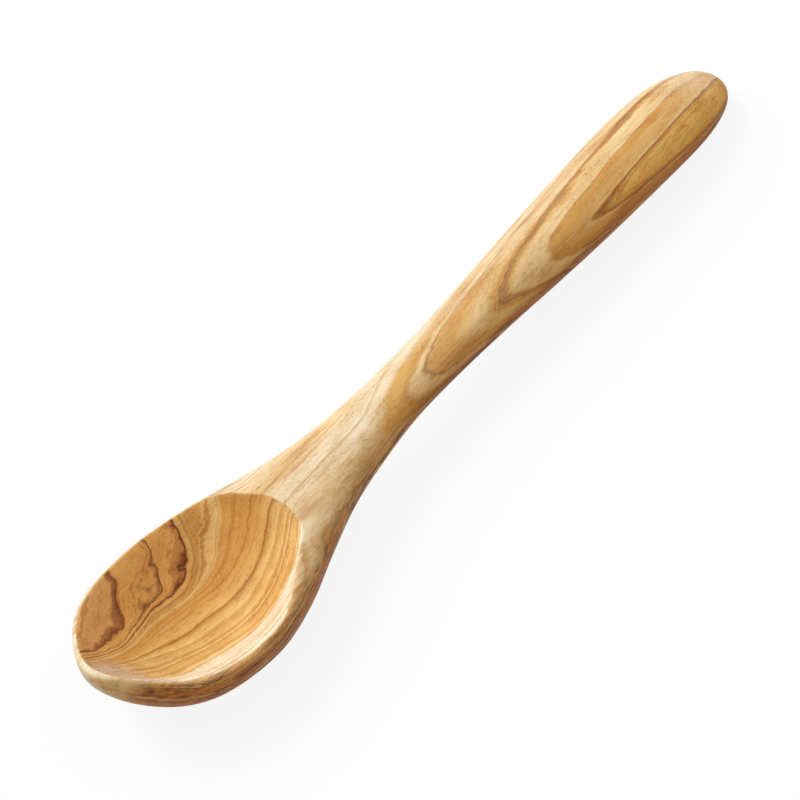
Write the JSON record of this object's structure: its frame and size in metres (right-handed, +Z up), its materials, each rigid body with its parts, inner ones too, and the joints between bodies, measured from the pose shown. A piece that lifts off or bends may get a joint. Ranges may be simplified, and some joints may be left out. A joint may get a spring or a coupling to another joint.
{
  "type": "wooden spoon",
  "caption": "One-piece olive-wood table spoon with an egg-shaped hollowed bowl, a slim neck and a thick rounded handle.",
  "frame": {"origin": "centre of the bounding box at its bottom, on the surface the spoon lies on", "axes": "+X from the bowl's tip towards the end of the handle, +Y across the spoon, +Z up out of the open bowl"},
  "size_m": [0.2, 0.0384, 0.0243],
  "materials": {
    "olive_wood": "oiled satin olive wood with brown and reddish growth bands"
  },
  "bodies": {
    "root": {"spoon": "olive_wood"}
  },
  "joints": []
}
